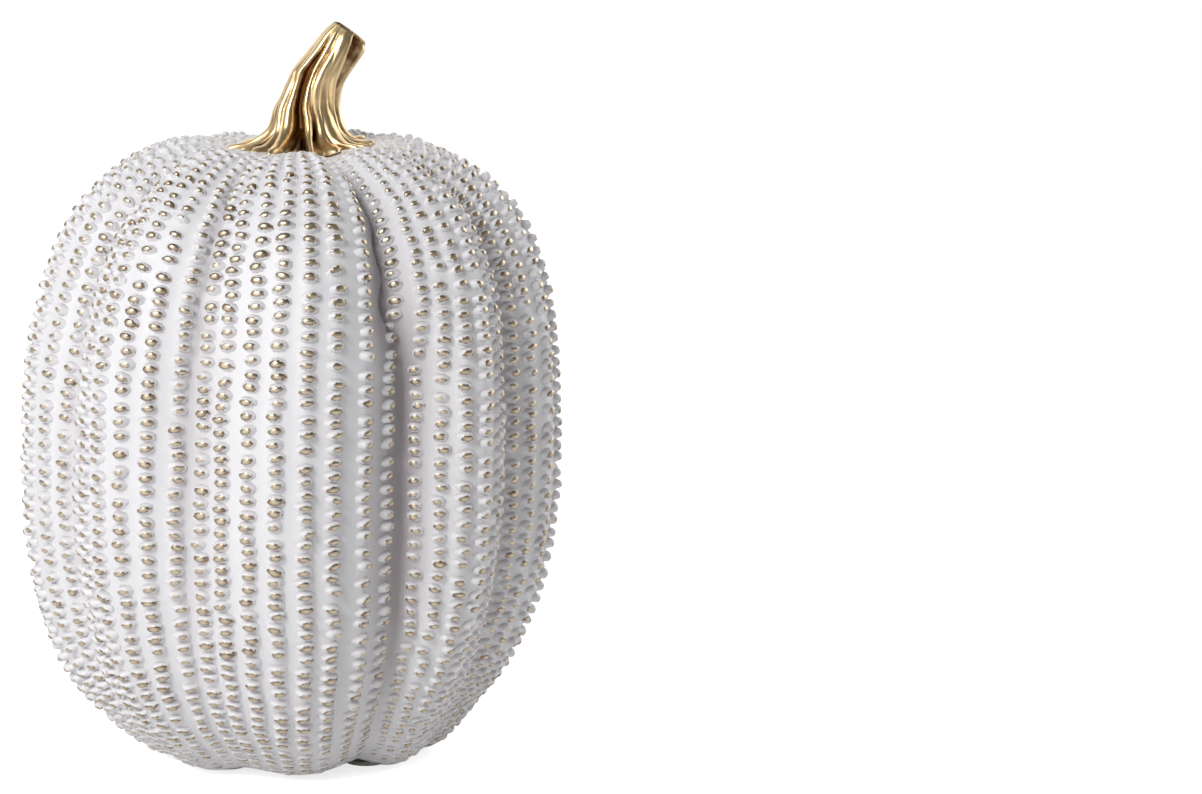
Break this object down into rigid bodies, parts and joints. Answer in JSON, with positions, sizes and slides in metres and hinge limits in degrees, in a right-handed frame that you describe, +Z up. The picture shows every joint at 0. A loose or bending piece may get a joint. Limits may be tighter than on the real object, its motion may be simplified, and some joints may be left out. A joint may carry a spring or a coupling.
{
  "type": "ceramic pumpkin figure",
  "caption": "Tall standing pumpkin ornament with a beaded, lobed ceramic body, a gold-finished stem glued into its crown and felt feet.",
  "frame": {"origin": "centre of the surface that the pads stand on", "axes": "+Z up, the front of the pumpkin faces -Y, the stem leans towards +X"},
  "size_m": [0.1415, 0.143, 0.2],
  "materials": {
    "white_glazed_ceramic": "satin",
    "gold_lustre_ceramic": "gloss",
    "cured_epoxy": "gloss",
    "soft_rubber": "matte",
    "felt": "matte"
  },
  "bodies": {
    "root": {"body_shell": "white_glazed_ceramic", "stem": "gold_lustre_ceramic", "stem_adhesive": "cured_epoxy", "vent_plug": "soft_rubber", "foot_pad_1": "felt", "foot_pad_2": "felt", "foot_pad_3": "felt", "foot_pad_4": "felt"}
  },
  "joints": []
}
